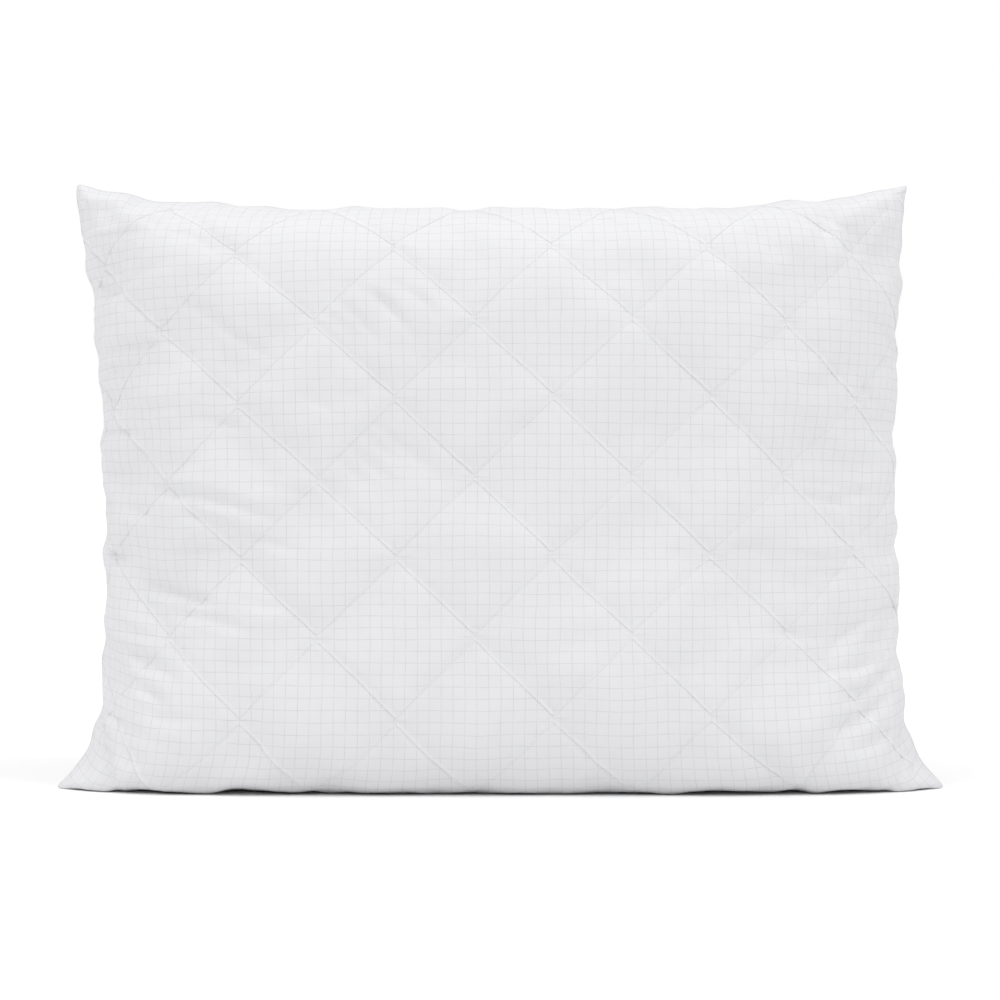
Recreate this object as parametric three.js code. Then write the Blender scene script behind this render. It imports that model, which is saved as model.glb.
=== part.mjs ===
import * as THREE from "three";

// A quilted bed pillow standing on one long edge: its front faces -Y and its foot rests on Z = 0.
// All sizes are in millimetres.

// One quilted panel, laid flat between its seams
const flatWidth = 700;
const flatHeight = 500;

// The filled pillow as it stands
const fullDepth = 150;
const sidePullIn = 52; // how far the filling draws each side seam in at mid height
const headPullIn = 59; // how far it draws the top seam down at mid width
const headCornerRise = 19;
const headCornerFlare = 17;
const footCornerFlare = 12;
const footEarReach = 30;
const footEarHeight = 25;
const footHalfDepth = 30; // half the depth of the flat foot
const footSeamForward = 16; // the bottom seam lies this far in front of the middle of the foot

// Sewn edge: the padded edge is rounded, and the two panels meet edge to edge
const edgeRadius = 6;
const seamHalfGap = 0.2;
const edgeRows = [3, 8, 25, 37, 50]; // distances from the seam where the rounded edge is faceted

// Layers of a panel, from the outside in
const outerThickness = 0.6;
const waddingStitched = 1.5; // wadding pressed flat under a stitch line
const waddingLoft = 8; // wadding in the middle of a diamond
const diamondPuff = 4; // how far a diamond stands proud of its stitch lines
const liningThickness = 0.4;
const layerClearance = 0.4;
const fillClearance = 4;
const layerEdgeMargin = 8; // the wadding and the lining stop this far inside the seam
const layerCornerMargin = 50; // and are cut square across the corners
const fillEdgeMargin = 25; // the filling stops this far inside the seam
const fillCornerMargin = 82;
const fillLeastHalf = 1;

// Diamond quilting: gaps between crossings, and the plain margins outside the crossings
const quiltColumns = 11;
const quiltRows = 8;
const quiltLeftMargin = 30;
const quiltRightMargin = 10;
const quiltTopMargin = 11;
const quiltBottomMargin = 23;
const crossingGap = 4; // the points of neighbouring zigzags stop this far apart

// Threads
const quiltThreadRadius = 0.4;
const seamThreadRadius = 0.5;
const threadClearance = 0.5;
const closingSeamLength = 240; // the part of the bottom seam sewn last, after filling
const closingSeamGap = 4;
const footThreadMargin = 8; // a stitch line that runs under the foot stops this far outside it
const footStackTurn = 0.6; // how far the layers beside the foot turn down towards it
const footRowInset = 2; // the flat foot is faceted out to this far from its edge

// Shape of the filled pillow
const acrossEase = 0.12; // how much cloth turns round the side edges
const headEase = 0.09; // how far the blunt head pushes the cloth below it up
const headEasePower = 12;
const uprightEase = 0.013; // how much cloth turns over the head and under the belly
const easePower = 8;
const acrossRoundness = 3;
const footRoundness = 8; // the foot is squarer than the belly, because the filling settles into it
const settledShare = 0.3; // share of the way up where the filling is no longer settled
const acrossFullness = 0.7;
const bellyRoundness = 6;
const bellyFullness = 0.58;
const cornerPower = 4;

const front = -1;
const back = 1;
const columnPitch = (flatWidth - quiltLeftMargin - quiltRightMargin) / quiltColumns;
const rowPitch = (flatHeight - quiltTopMargin - quiltBottomMargin) / quiltRows;
const bellyStart = (1 - (2 * footHalfDepth / fullDepth) ** (1 / bellyFullness)) ** (1 / bellyRoundness);

const columnOf = (i) => quiltLeftMargin + i * columnPitch;
const rowOf = (j) => quiltBottomMargin + j * rowPitch;
const seamDistance = (p, q) => Math.min(p, flatWidth - p, q, flatHeight - q);
const footLength = (side) => footHalfDepth + side * footSeamForward;

// Moves a share from -1 to 1 so that its ends are packed closer than its middle
function eased(share, ease) {
  return share * (1 + ease - ease * Math.abs(share) ** (easePower - 1));
}

// Half the width between the side seams, at a share of the way up
function sideSeamReach(share, height) {
  const middle = flatWidth / 2 - sidePullIn;
  const flare = headCornerFlare * share ** cornerPower + footCornerFlare * (1 - share) ** cornerPower;
  return middle + flare + footEarReach * Math.exp(-height / footEarHeight);
}

// How deep the pillow is across its width, as a share of its depth in the middle
function fullnessAcross(across, roundness) {
  return (1 - Math.min(1, Math.abs(across)) ** roundness) ** acrossFullness;
}

// The outer cloth without its quilting: p runs along the panel and q up it from the bottom seam
function pillowForm(side, p, q) {
  const share = q / flatHeight;
  const across = eased(2 * p / flatWidth - 1, acrossEase * (1 - (2 * share - 1) ** 6));
  const footFullness = fullnessAcross(across, footRoundness);
  const foot = footLength(side) * footFullness;
  const climb = Math.max(0, (q - foot) / (flatHeight - foot));
  const settled = Math.max(0, 1 - climb / settledShare);
  const fullness = fullnessAcross(across, acrossRoundness + (footRoundness - acrossRoundness) * settled ** 2);
  const even = (1 + eased(2 * climb - 1, uprightEase * fullness)) / 2;
  const rise = even * (1 + headEase * fullness * (1 - even ** headEasePower));
  const height = (flatHeight - headPullIn + headCornerRise * across ** cornerPower) * rise;
  const belly = -bellyStart + (1 + bellyStart) * Math.min(1, rise);
  let body = fullDepth / 2 * fullness * (1 - Math.abs(belly) ** bellyRoundness) ** bellyFullness;
  let middle = 0;
  if (q < foot) {
    body = footHalfDepth * footFullness * q / foot;
    middle = -footSeamForward * footFullness * (1 - q / foot);
  }
  const turn = Math.min(seamDistance(p, q) / edgeRadius, Math.PI / 2);
  const half = seamHalfGap + Math.hypot(body, edgeRadius * Math.sin(turn));
  return new THREE.Vector3(sideSeamReach(share, height) * across, middle + side * half, height);
}

// The direction that faces out of the cloth
function clothNormal(side, p, q) {
  const step = 0.5;
  const x = THREE.MathUtils.clamp(p, 2 * step, flatWidth - 2 * step);
  const z = THREE.MathUtils.clamp(q, 2 * step, flatHeight - 2 * step);
  const along = pillowForm(side, x + step, z).sub(pillowForm(side, x - step, z));
  const up = pillowForm(side, x, z + step).sub(pillowForm(side, x, z - step));
  return along.cross(up).multiplyScalar(-side).normalize();
}

// The direction that the layers are stacked in. At the seam it points straight out of the pillow, so
// that the two edges meet squarely, and beside the foot it turns down, so that no layer dips.
function outwardAt(side, p, q) {
  const normal = clothNormal(side, p, q);
  if (seamDistance(p, q) === 0) normal.add(clothNormal(-side, p, q));
  const low = Math.max(0, 1 - pillowForm(side, p, q).z / footHalfDepth);
  if (q < flatHeight * settledShare) normal.z = Math.min(normal.z, -footStackTurn * low);
  return normal.normalize();
}

// 0 on a stitch line and 1 in the middle of a diamond, fading out at the seams and under the foot
function diamondShare(p, q, height) {
  const column = (p - quiltLeftMargin) / columnPitch;
  const row = (q - quiltBottomMargin) / rowPitch;
  const rising = Math.abs(((column - row - 1) / 2) - Math.round((column - row - 1) / 2));
  const falling = Math.abs(((column + row - 1) / 2) - Math.round((column + row - 1) / 2));
  const edgeFade = THREE.MathUtils.clamp((seamDistance(p, q) - layerEdgeMargin) / layerEdgeMargin, 0, 1);
  const footFade = THREE.MathUtils.clamp(height / footHalfDepth, 0, 1);
  return 2 * Math.min(rising, falling) * edgeFade * footFade;
}

// A point of a panel at a depth below its outer face; depth is worked out from the diamond's share.
// Over the foot the layers are stacked upward.
function panelPoint(side, p, q, depth) {
  const form = pillowForm(side, p, q);
  const share = diamondShare(p, q, form.z);
  const point = form.addScaledVector(outwardAt(side, p, q), diamondPuff * share - depth(share));
  point.z = Math.max(point.z, depth(share));
  return point;
}

const waddingTop = outerThickness + layerClearance;
const waddingBase = (share) => waddingTop + waddingStitched + (waddingLoft - waddingStitched) * share;
const liningTop = (share) => waddingBase(share) + layerClearance;
const liningBase = (share) => liningTop(share) + liningThickness;
const needleDepth = () => -threadClearance - quiltThreadRadius;
const looperDepth = (share) => liningBase(share) + threadClearance + quiltThreadRadius;
const fillDepth = (share) => liningBase(share) + fillClearance;

// Grid lines: the seams, the faceted edge, the foot and every column or row of crossings
function gridLines(length, crossings, extras) {
  const edges = [0, ...edgeRows, ...edgeRows.map((row) => length - row), length];
  const lines = [...crossings];
  for (const line of [...edges, ...extras]) {
    if (lines.every((other) => Math.abs(other - line) > 1)) lines.push(line);
  }
  return lines.sort((a, b) => a - b);
}

const crossingColumns = Array.from({ length: quiltColumns + 1 }, (_, i) => columnOf(i));
const crossingRows = Array.from({ length: quiltRows + 1 }, (_, j) => rowOf(j));
const columnLines = gridLines(flatWidth, crossingColumns, []);
const footRows = [front, back].flatMap((side) => {
  return [footLength(side) - footRowInset, footLength(side) + footThreadMargin];
});
const rowLines = gridLines(flatHeight, crossingRows, footRows);
const within = (lines, length, margin) => lines.filter((line) => line >= margin && line <= length - margin);
const innerColumns = within(columnLines, flatWidth, layerEdgeMargin);
const innerRows = within(rowLines, flatHeight, layerEdgeMargin);
const fillColumns = within(columnLines, flatWidth, fillEdgeMargin);
const fillRows = within(rowLines, flatHeight, fillEdgeMargin);

// True where the stitch line through this spot runs up to the right
function stitchRises(p, q) {
  const column = Math.floor((p - quiltLeftMargin) / columnPitch);
  const row = Math.floor((q - quiltBottomMargin) / rowPitch);
  return Math.abs(column + row) % 2 === 1;
}

// The edges round the outside of a sheet of triangles
function openEdges(triangles) {
  const edges = triangles.flatMap(([a, b, c]) => [[a, b], [b, c], [c, a]]);
  const names = new Set(edges.map((edge) => edge.join()));
  return edges.filter(([a, b]) => !names.has([b, a].join()));
}

// A closed mesh from its corners and triangles, turned so that its faces point out
function closedGeometry(corners, triangles) {
  let volume = 0;
  for (const [a, b, c] of triangles) {
    volume += corners[a].dot(new THREE.Vector3().crossVectors(corners[b], corners[c]));
  }
  const index = triangles.flatMap(([a, b, c]) => (volume > 0 ? [a, b, c] : [a, c, b]));
  const geometry = new THREE.BufferGeometry();
  geometry.setAttribute("position", new THREE.Float32BufferAttribute(corners.flatMap((v) => v.toArray()), 3));
  geometry.setIndex(index);
  geometry.computeVertexNormals();
  return geometry;
}

// A closed body between two faces that share one grid, split along the stitch lines.
// Cells that lie within the corner margin of both seams are left out.
function layeredGeometry(columns, rows, cornerMargin, upperPoint, lowerPoint) {
  const corners = [];
  for (const point of [upperPoint, lowerPoint]) {
    for (const p of columns) {
      for (const q of rows) corners.push(point(p, q));
    }
  }
  const lower = columns.length * rows.length;
  const at = (i, j) => i * rows.length + j;
  const triangles = [];
  for (let i = 0; i + 1 < columns.length; i++) {
    for (let j = 0; j + 1 < rows.length; j++) {
      const [a, b, c, d] = [at(i, j), at(i + 1, j), at(i + 1, j + 1), at(i, j + 1)];
      const [p, q] = [(columns[i] + columns[i + 1]) / 2, (rows[j] + rows[j + 1]) / 2];
      if (Math.max(Math.min(p, flatWidth - p), Math.min(q, flatHeight - q)) < cornerMargin) continue;
      const rises = stitchRises(p, q);
      const halves = rises ? [[a, b, c], [a, c, d]] : [[a, b, d], [b, c, d]];
      for (const [u, v, w] of halves) triangles.push([u, v, w], [lower + u, lower + w, lower + v]);
    }
  }
  for (const [a, b] of openEdges(triangles.filter(([u]) => u < lower))) {
    triangles.push([a, lower + a, lower + b], [a, lower + b, b]);
  }
  return closedGeometry(corners, triangles);
}

// A square-sectioned thread along a path of points, each with the direction out of the cloth
function threadGeometry(path, radius) {
  const corners = [];
  path.forEach(({ point, outward }, k) => {
    const before = path[Math.max(k - 1, 0)].point;
    const after = path[Math.min(k + 1, path.length - 1)].point;
    const into = point.clone().sub(before).normalize();
    const out = after.clone().sub(point).normalize();
    const along = into.clone().add(out).normalize();
    const straightness = Math.max(along.dot(out), along.dot(into));
    const sideways = new THREE.Vector3().crossVectors(along, outward).normalize();
    const up = new THREE.Vector3().crossVectors(sideways, along).normalize();
    corners.push(point.clone().addScaledVector(sideways, radius / straightness));
    corners.push(point.clone().addScaledVector(up, radius));
    corners.push(point.clone().addScaledVector(sideways, -radius / straightness));
    corners.push(point.clone().addScaledVector(up, -radius));
  });
  const triangles = [];
  for (let k = 0; k + 1 < path.length; k++) {
    for (let side = 0; side < 4; side++) {
      const [a, b] = [4 * k + side, 4 * k + (side + 1) % 4];
      triangles.push([a, b, b + 4], [a, b + 4, a + 4]);
    }
  }
  const last = 4 * (path.length - 1);
  triangles.push([0, 2, 1], [0, 3, 2], [last, last + 1, last + 2], [last, last + 2, last + 3]);
  return closedGeometry(corners, triangles);
}

// A point on the flat facets of a panel, from the three grid corners round it
function facetPoint(side, p, q, depth) {
  const cell = (lines, value) => {
    const found = lines.findIndex((line, k) => k + 1 < lines.length && value <= lines[k + 1]);
    return [lines[found], lines[found + 1]];
  };
  const [left, right] = cell(columnLines, p);
  const [low, high] = cell(rowLines, q);
  const u = (p - left) / (right - left);
  const v = (q - low) / (high - low);
  const rises = stitchRises((left + right) / 2, (low + high) / 2);
  const corner = (x, z) => panelPoint(side, x, z, depth);
  if (rises && u >= v) return weigh([corner(left, low), 1 - u], [corner(right, low), u - v], [corner(right, high), v]);
  if (rises) return weigh([corner(left, low), 1 - v], [corner(left, high), v - u], [corner(right, high), u]);
  if (u + v <= 1) return weigh([corner(left, low), 1 - u - v], [corner(right, low), u], [corner(left, high), v]);
  return weigh([corner(right, high), u + v - 1], [corner(left, high), 1 - u], [corner(right, low), 1 - v]);
}

function weigh(...shares) {
  const sum = new THREE.Vector3();
  for (const [point, share] of shares) sum.addScaledVector(point, share);
  return sum;
}

// One needle's zigzag between two rows of crossings, as places on the panel
function zigzagPlaces(side, row) {
  const turns = crossingColumns.map((p, i) => {
    const low = (i + row) % 2 === 1;
    return [p, low ? rowOf(row) + crossingGap / 2 : rowOf(row + 1) - crossingGap / 2];
  });
  const places = [turns[0]];
  for (let i = 1; i < turns.length; i++) {
    const [from, to] = [turns[i - 1], turns[i]];
    for (const share of gridCrossings(from, to)) {
      places.push([from[0] + (to[0] - from[0]) * share, from[1] + (to[1] - from[1]) * share]);
    }
    places.push(to);
  }
  const lowest = footLength(side) + footThreadMargin;
  return places.map(([p, q]) => [p, Math.max(q, lowest)]);
}

// Shares of the way from one place to another where the straight line between them meets the grid
function gridCrossings(from, to) {
  const least = 0.01;
  const across = columnLines.map((p) => (p - from[0]) / (to[0] - from[0]));
  const up = rowLines.map((q) => (q - from[1]) / (to[1] - from[1]));
  const shares = [...across, ...up].filter((share) => share > least && share < 1 - least).sort((a, b) => a - b);
  return shares.filter((share, k) => k === 0 || share - shares[k - 1] > least);
}

// A quilting thread that lies at a depth below the outer face of a panel
function quiltThread(side, row, depth) {
  const path = zigzagPlaces(side, row).map(([p, q]) => {
    return { point: facetPoint(side, p, q, depth), outward: clothNormal(side, p, q) };
  });
  return threadGeometry(path, quiltThreadRadius);
}

// The seam thread lies just inside the meeting edges of the two panels
function seamThread(places) {
  const inset = outerThickness + layerClearance + seamThreadRadius;
  const path = places.map(([p, q]) => {
    const outward = outwardAt(front, p, q);
    const edge = pillowForm(front, p, q).add(pillowForm(back, p, q)).multiplyScalar(0.5);
    return { point: edge.addScaledVector(outward, -inset), outward };
  });
  return threadGeometry(path, seamThreadRadius);
}

// Places along the seams, starting and ending at the two ends of the closing seam
function seamPlaces() {
  const start = (flatWidth + closingSeamLength) / 2 + closingSeamGap;
  const end = (flatWidth - closingSeamLength) / 2 - closingSeamGap;
  return [
    [start, 0],
    ...innerColumns.filter((p) => p > start + 1).map((p) => [p, 0]),
    ...innerRows.map((q) => [flatWidth, q]),
    ...innerColumns.toReversed().map((p) => [p, flatHeight]),
    ...innerRows.toReversed().map((q) => [0, q]),
    ...innerColumns.filter((p) => p < end - 1).map((p) => [p, 0]),
    [end, 0],
  ];
}

function closingPlaces() {
  const [from, to] = [(flatWidth - closingSeamLength) / 2, (flatWidth + closingSeamLength) / 2];
  const between = columnLines.filter((p) => p > from + 1 && p < to - 1);
  return [from, ...between, to].map((p) => [p, 0]);
}

// The filling follows the inside of both linings and stays just clear of the middle of the pillow
function fillPoint(side, p, q) {
  const point = panelPoint(side, p, q, fillDepth);
  const middle = (pillowForm(front, p, q).y + pillowForm(back, p, q).y) / 2;
  if (side * (point.y - middle) < fillLeastHalf) point.y = middle + side * fillLeastHalf;
  return point;
}

const pillow = new THREE.Group();

function addPiece(name, geometry, color, roughness) {
  const mesh = new THREE.Mesh(geometry, new THREE.MeshStandardMaterial({ color, roughness, metalness: 0 }));
  mesh.name = name;
  pillow.add(mesh);
}

// One layer of a panel, from the depth of its top to the depth of its base
function layer(side, columns, rows, cornerMargin, top, base) {
  const upper = (p, q) => panelPoint(side, p, q, top);
  const lower = (p, q) => panelPoint(side, p, q, base);
  return layeredGeometry(columns, rows, cornerMargin, upper, lower);
}

function outerFabric(side) {
  return layer(side, columnLines, rowLines, 0, () => 0, () => outerThickness);
}

function wadding(side) {
  return layer(side, innerColumns, innerRows, layerCornerMargin, () => waddingTop, waddingBase);
}

function lining(side) {
  return layer(side, innerColumns, innerRows, layerCornerMargin, liningTop, liningBase);
}

function fibreFill() {
  const frontPoint = (p, q) => fillPoint(front, p, q);
  const backPoint = (p, q) => fillPoint(back, p, q);
  return layeredGeometry(fillColumns, fillRows, fillCornerMargin, frontPoint, backPoint);
}

for (const [label, side] of [["front", front], ["back", back]]) {
  addPiece(`${label}_outer_fabric`, outerFabric(side), "#f2f3f5", 0.85);
  addPiece(`${label}_wadding`, wadding(side), "#fafaf7", 0.95);
  addPiece(`${label}_lining`, lining(side), "#efefec", 0.9);
  for (let row = 0; row < quiltRows; row++) {
    const number = quiltRows - row; // counted down from the head
    addPiece(`${label}_needle_thread_${number}`, quiltThread(side, row, needleDepth), "#fdfdfd", 0.6);
    addPiece(`${label}_looper_thread_${number}`, quiltThread(side, row, looperDepth), "#f7f7f5", 0.6);
  }
}
addPiece("fibre_fill", fibreFill(), "#fbfbf9", 0.95);
addPiece("perimeter_seam_thread", seamThread(seamPlaces()), "#fdfdfd", 0.6);
addPiece("closing_seam_thread", seamThread(closingPlaces()), "#fdfdfd", 0.6);

export default pillow;
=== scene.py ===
import math

import bpy
import numpy as np
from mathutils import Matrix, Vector


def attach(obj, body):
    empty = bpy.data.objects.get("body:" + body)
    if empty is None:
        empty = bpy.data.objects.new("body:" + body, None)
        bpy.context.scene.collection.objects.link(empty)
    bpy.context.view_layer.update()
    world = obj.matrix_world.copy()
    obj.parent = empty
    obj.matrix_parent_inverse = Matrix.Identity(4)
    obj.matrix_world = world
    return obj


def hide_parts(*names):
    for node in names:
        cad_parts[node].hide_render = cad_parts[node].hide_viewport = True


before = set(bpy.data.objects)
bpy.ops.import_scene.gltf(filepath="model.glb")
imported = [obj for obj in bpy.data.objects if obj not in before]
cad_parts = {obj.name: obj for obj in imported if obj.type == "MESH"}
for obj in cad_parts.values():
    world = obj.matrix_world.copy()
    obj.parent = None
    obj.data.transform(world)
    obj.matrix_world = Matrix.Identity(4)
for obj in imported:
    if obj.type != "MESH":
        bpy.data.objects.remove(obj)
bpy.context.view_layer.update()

scene = bpy.context.scene

# The cut of one panel and the shape it takes when filled, in metres. On the cloth, p runs from the
# left seam and q up from the foot seam. Side -1 is the front panel and 1 the back.
pillow = {
    "flatWidth": 0.700,
    "flatHeight": 0.500,
    "fullDepth": 0.150,
    "sidePullIn": 0.051,
    "headPullIn": 0.059,
    "headCornerRise": 0.019,
    "headFlareLeft": 0.026,
    "headFlareRight": 0.010,
    "footFlareLeft": 0.006,
    "footFlareRight": 0.012,
    "footEarLeft": 0.036,
    "footEarRight": 0.030,
    "footEarHeight": 0.025,
    "footHalfDepth": 0.030,
    "footSeamForward": 0.016,
    "edgeRadius": 0.006,
    "seamHalfGap": 0.0003,
    "acrossEase": 0.12,
    "uprightEase": 0.013,
    "headEase": 0.09,
    "headEasePower": 12,
    "easePower": 8,
    "acrossRoundness": 3,
    "footRoundness": 8,
    "settledShare": 0.3,
    "acrossFullness": 0.7,
    "bellyRoundness": 6,
    "bellyFullness": 0.58,
    "clothThickness": 0.0006,
    "sag": 0.016,  # the cloth just above the floor hangs lower by up to this
    "sagReach": 0.050,
}

# The rows of diamond quilting, one zigzag for each needle
quilting = {
    "columns": 11,
    "rows": 8,
    "leftMargin": 0.030,
    "rightMargin": 0.010,
    "topMargin": 0.011,
    "bottomMargin": 0.023,
    "crossingGap": 0.004,
    "tilt": 0.004,  # the rows were quilted a little out of square
    "puff": 0.0010,
    "puffReach": 0.008,
    "dent": 0.0004,
    "dentReach": 0.0028,
    "risingShare": 0.38,
    "edgeFade": 0.012,
    "stitchLength": 0.0032,
    "stitchRadius": 0.00028,
}
sewnWidth = pillow["flatWidth"] - quilting["leftMargin"] - quilting["rightMargin"]
sewnHeight = pillow["flatHeight"] - quilting["topMargin"] - quilting["bottomMargin"]
columnPitch = sewnWidth / quilting["columns"]
rowPitch = sewnHeight / quilting["rows"]


def eased(share, ease):
    return share * (1 + ease - ease * np.abs(share) ** (pillow["easePower"] - 1))


def fullnessAcross(across, roundness):
    return (1 - np.minimum(1, np.abs(across)) ** roundness) ** pillow["acrossFullness"]


# The filled shape before any crease is in it
def filledShape(p, q, side):
    share = q / pillow["flatHeight"]
    across = eased(2 * p / pillow["flatWidth"] - 1, pillow["acrossEase"] * (1 - (2 * share - 1) ** 6))
    footFullness = fullnessAcross(across, pillow["footRoundness"])
    foot = (pillow["footHalfDepth"] + side * pillow["footSeamForward"]) * footFullness
    climb = np.maximum(0, (q - foot) / (pillow["flatHeight"] - foot))
    settled = np.maximum(0, 1 - climb / pillow["settledShare"]) ** 2
    extra = pillow["footRoundness"] - pillow["acrossRoundness"]
    roundness = pillow["acrossRoundness"] + extra * settled
    fullness = fullnessAcross(across, roundness)
    even = (1 + eased(2 * climb - 1, pillow["uprightEase"] * fullness)) / 2
    rise = even * (1 + pillow["headEase"] * fullness * (1 - even ** pillow["headEasePower"]))
    head = pillow["flatHeight"] - pillow["headPullIn"] + pillow["headCornerRise"] * across ** 4
    height = head * rise
    footShare = 2 * pillow["footHalfDepth"] / pillow["fullDepth"]
    start = (1 - footShare ** (1 / pillow["bellyFullness"])) ** (1 / pillow["bellyRoundness"])
    belly = np.abs(-start + (1 + start) * np.minimum(1, rise)) ** pillow["bellyRoundness"]
    body = pillow["fullDepth"] / 2 * fullness * (1 - belly) ** pillow["bellyFullness"]
    sag = pillow["sag"] * fullness * (1 - np.exp(-height / pillow["sag"]))
    height = height - sag * np.exp(-height / pillow["sagReach"])
    under = q < foot
    along = q / np.maximum(foot, 1e-9)
    body = np.where(under, pillow["footHalfDepth"] * footFullness * along, body)
    middle = np.where(under, -pillow["footSeamForward"] * footFullness * (1 - along), 0)
    half = pillow["seamHalfGap"] + np.hypot(body, pillow["edgeRadius"] * np.sin(nearSeam(p, q)))
    flare = np.where(across < 0, pillow["headFlareLeft"], pillow["headFlareRight"]) * share ** 4
    footFlare = np.where(across < 0, pillow["footFlareLeft"], pillow["footFlareRight"])
    flare = flare + footFlare * (1 - share) ** 4
    ear = np.where(across < 0, pillow["footEarLeft"], pillow["footEarRight"])
    ear = ear * np.exp(-height / pillow["footEarHeight"])
    reach = pillow["flatWidth"] / 2 - pillow["sidePullIn"] + flare + ear
    return np.stack([reach * across, middle + side * half, height], -1)


def seamDistance(p, q):
    across = np.minimum(p, pillow["flatWidth"] - p)
    return np.maximum(0, np.minimum(across, np.minimum(q, pillow["flatHeight"] - q)))


def nearSeam(p, q):
    return np.minimum(seamDistance(p, q) / pillow["edgeRadius"], math.pi / 2)


# Height on the cloth of one needle's zigzag, at p. Row 0 is the lowest.
def zigzag(p, row):
    place = (p - quilting["leftMargin"]) / columnPitch + row
    swing = np.abs((place % 2) - 1)  # 1 at a high point, 0 at a low one
    low = quilting["bottomMargin"] + rowPitch * row + quilting["crossingGap"] / 2
    tilt = quilting["tilt"] * (2 * p / pillow["flatWidth"] - 1)
    return low + (rowPitch - quilting["crossingGap"]) * swing + tilt


def stitchDistance(p, q):
    lean = math.cos(math.atan2(rowPitch - quilting["crossingGap"], columnPitch))
    return np.min([np.abs(q - zigzag(p, row)) * lean for row in range(quilting["rows"])], axis=0)


def mathNode(tree, operation, first, second=None, third=None):
    node = tree.nodes.new("ShaderNodeMath")
    node.operation = operation
    for socket, value in zip(node.inputs, (first, second, third)):
        if value is None:
            continue
        if isinstance(value, (int, float)):
            socket.default_value = value
        else:
            tree.links.new(value, socket)
    return node.outputs[0]


# Camera, floor and light

view = {
    "eye": (0.0, -2.20, 0.262),
    "lookAt": (0.0, 0.0, 0.220),
    "lens": 104,
}


def placeCamera():
    bpy.ops.object.select_all(action="DESELECT")
    bpy.ops.object.camera_add(location=view["eye"])
    camera = bpy.context.object
    camera.name = "camera"
    towards = Vector(view["lookAt"]) - Vector(view["eye"])
    camera.rotation_euler = towards.to_track_quat("-Z", "Y").to_euler()
    camera.data.lens = view["lens"]
    scene.camera = camera


studio = {
    "floorSize": 40,
    "skySeen": 1.0,
    "skyLight": 0.47,
    "paper": (0.98, 0.98, 0.98, 1),
    "lamps": [  # name, direction it comes from, strength, spread in degrees
        ("overhead", (-0.12, -0.18, 1.0), 1.45, 80),
        ("rightFront", (1.0, -0.62, 1.1), 0.66, 22),
        ("leftFront", (-1.0, -0.70, 0.9), 0.44, 30),
    ],
}


def lightStudio():
    world = bpy.data.worlds.new("studioWorld")
    scene.world = world
    world.use_nodes = True
    tree = world.node_tree
    path = tree.nodes.new("ShaderNodeLightPath")
    seen = studio["skySeen"] - studio["skyLight"]
    strength = mathNode(tree, "MULTIPLY_ADD", path.outputs["Is Camera Ray"], seen, studio["skyLight"])
    sky = tree.nodes["Background"]
    sky.inputs["Color"].default_value = (1, 1, 1, 1)
    tree.links.new(strength, sky.inputs["Strength"])
    for name, source, strength, spread in studio["lamps"]:
        bpy.ops.object.light_add(type="SUN", location=source)
        lamp = bpy.context.object
        lamp.name = lamp.data.name = name
        lamp.data.energy = strength
        lamp.data.angle = math.radians(spread)
        lamp.rotation_euler = (-Vector(source)).to_track_quat("-Z", "Y").to_euler()
    bpy.ops.object.select_all(action="DESELECT")
    bpy.ops.mesh.primitive_plane_add(size=studio["floorSize"], location=(0, 0, 0))
    floor = bpy.context.object
    floor.name = floor.data.name = "floor"
    paint = bpy.data.materials.new("palePaper")
    paint.use_nodes = True
    shader = paint.node_tree.nodes["Principled BSDF"]
    shader.inputs["Base Color"].default_value = studio["paper"]
    shader.inputs["Roughness"].default_value = 1
    shader.inputs["Specular IOR Level"].default_value = 0
    floor.data.materials.append(paint)
    scene.view_settings.view_transform = "Standard"


placeCamera()
lightStudio()
print("camera and light ready")


# Node groups, each an effect that several materials use

# Every group takes a vector; its other sockets are numbers, or colours where they are named so
def newGroup(name, inputs, outputs):
    group = bpy.data.node_groups.new(name, "ShaderNodeTree")
    group.interface.new_socket(name="Vector", in_out="INPUT", socket_type="NodeSocketVector")
    for way, labels in (("INPUT", inputs), ("OUTPUT", outputs)):
        for label in labels:
            kind = "NodeSocketColor" if label.endswith("Color") else "NodeSocketFloat"
            group.interface.new_socket(name=label, in_out=way, socket_type=kind)
    return group, group.nodes.new("NodeGroupInput"), group.nodes.new("NodeGroupOutput")


def vectorNode(tree, operation, first, second):
    node = tree.nodes.new("ShaderNodeVectorMath")
    node.operation = operation
    for socket, value in zip(node.inputs, (first, second)):
        if isinstance(value, (int, float)):
            socket.default_value = (value, value, value)
        elif isinstance(value, tuple):
            socket.default_value = value
        else:
            tree.links.new(value, socket)
    return node.outputs[0]


def noiseNode(tree, vector, scale, detail=2):
    node = tree.nodes.new("ShaderNodeTexNoise")
    node.inputs["Scale"].default_value = scale
    node.inputs["Detail"].default_value = detail
    tree.links.new(vector, node.inputs["Vector"])
    return node


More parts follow.
